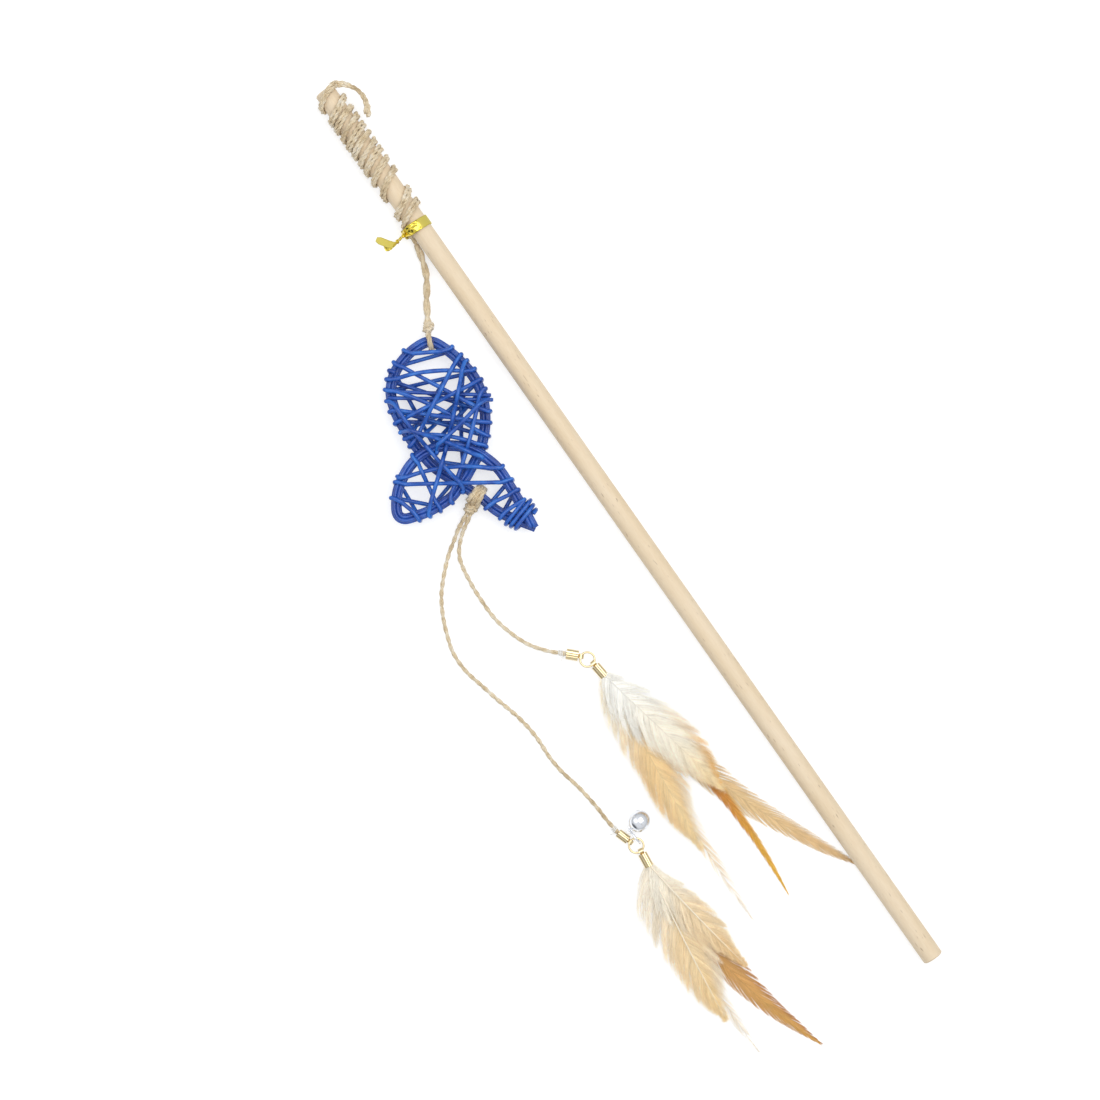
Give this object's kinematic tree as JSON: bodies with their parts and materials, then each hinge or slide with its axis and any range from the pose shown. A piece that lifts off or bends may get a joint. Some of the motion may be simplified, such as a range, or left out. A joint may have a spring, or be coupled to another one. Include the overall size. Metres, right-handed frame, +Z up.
{
  "type": "cat teaser wand",
  "caption": "Wooden wand with a jute-wound tip, a hanging wicker fish wound from blue cane, and jute drops ending in feathers and a jingle bell",
  "frame": {"origin": "middle of the wand and its toys as they lie on the floor, at floor height", "axes": "+X along the stick towards its wound tip, +Y towards the toys, +Z up from the floor"},
  "size_m": [0.4009, 0.0972, 0.0179],
  "materials": {
    "birch": "satin",
    "jute": "matte",
    "foil": "gloss",
    "winding_cane": "gloss",
    "frame_cane": "gloss",
    "pale_gold": "polished",
    "bell_nickel": "polished",
    "down": "matte",
    "hackle": "satin"
  },
  "bodies": {
    "wand": {"stick": "birch", "handle_winding": "jute", "twist_tie": "foil"},
    "hanger": {"hanger_twine": "jute", "hanger_loop": "jute"},
    "fish": {"fish_cane_1": "frame_cane", "fish_cane_2": "frame_cane", "fish_cane_3": "frame_cane", "fish_cane_4": "frame_cane", "fish_cane_5": "frame_cane", "fish_cross_cane_1": "frame_cane", "fish_cross_cane_2": "frame_cane", "fish_winding": "winding_cane", "fish_tip_binding": "winding_cane", "tail_knot": "jute"},
    "short_drop": {"short_drop_twine": "jute", "short_crimp": "pale_gold"},
    "short_ring": {"short_jump_ring": "pale_gold"},
    "short_feathers": {"short_feather_cap": "pale_gold", "short_tan_hackle": "hackle", "short_golden_hackle": "hackle", "short_pale_hackle": "hackle", "short_tan_down": "down", "short_white_down": "down"},
    "long_drop": {"long_drop_twine": "jute", "long_crimp": "pale_gold"},
    "long_ring": {"long_jump_ring": "pale_gold"},
    "long_feathers": {"long_feather_cap": "pale_gold", "long_brown_hackle": "hackle", "long_quill_hackle": "hackle", "long_tan_down": "down", "long_cream_down": "down"},
    "bell_link": {"bell_ring": "bell_nickel"},
    "bell": {"bell_shank_shell": "bell_nickel", "bell_slit_shell": "bell_nickel"},
    "pellet": {"bell_pellet": "bell_nickel"}
  },
  "joints": [
    {"name": "fish_swing", "type": "hinge", "parent": "wand", "child": "hanger", "pos_m": [0.13271, -0.03196, 0.0037], "axis": [0, 0, 1], "range_deg": [-80, 3]},
    {"name": "fish_tilt", "type": "hinge", "parent": "hanger", "child": "fish", "pos_m": [0.09956, -0.01514, 0.00673], "axis": [0.575, 0.8181, 0], "range_deg": [-45, 0]},
    {"name": "short_drop_lift", "type": "hinge", "parent": "fish", "child": "short_drop", "pos_m": [0.03428, 0.01522, 0.003], "axis": [0.8368, 0.5476, 0], "range_deg": [-60, 0]},
    {"name": "short_ring_fold", "type": "hinge", "parent": "short_drop", "child": "short_ring", "pos_m": [-0.03052, 0.00661, 0.0018], "axis": [-0.4818, 0.8763, 0], "range_deg": [-60, 0]},
    {"name": "short_feather_fold", "type": "hinge", "parent": "short_ring", "child": "short_feathers", "pos_m": [-0.0355, 0.00421, 0.0018], "axis": [-0.1011, 0.9949, 0], "range_deg": [-60, 0]},
    {"name": "long_drop_lift", "type": "hinge", "parent": "fish", "child": "long_drop", "pos_m": [0.03597, 0.01624, 0.003], "axis": [0.8368, 0.5476, 0], "range_deg": [-60, 60]},
    {"name": "long_ring_fold", "type": "hinge", "parent": "long_drop", "child": "long_ring", "pos_m": [-0.09877, 0.03173, 0.0018], "axis": [-0.3795, 0.9252, 0], "range_deg": [-60, 30]},
    {"name": "long_feather_fold", "type": "hinge", "parent": "long_ring", "child": "long_feathers", "pos_m": [-0.10409, 0.03042, 0.0018], "axis": [0.1115, 0.9938, 0], "range_deg": [-60, 60]},
    {"name": "bell_ring_swing", "type": "hinge", "parent": "long_ring", "child": "bell_link", "pos_m": [-0.09907, 0.02909, 0.0018], "axis": [-0.575, -0.8181, 0], "range_deg": [-45, 45]},
    {"name": "bell_swing", "type": "hinge", "parent": "bell_link", "child": "bell", "pos_m": [-0.09472, 0.0294, 0.00384], "axis": [0, 0, 1], "range_deg": [-10, 60]},
    {"name": "pellet_slide", "type": "slide", "parent": "bell", "child": "pellet", "axis": [0, 0, 1], "range_m": [0, 0.0053]}
  ]
}
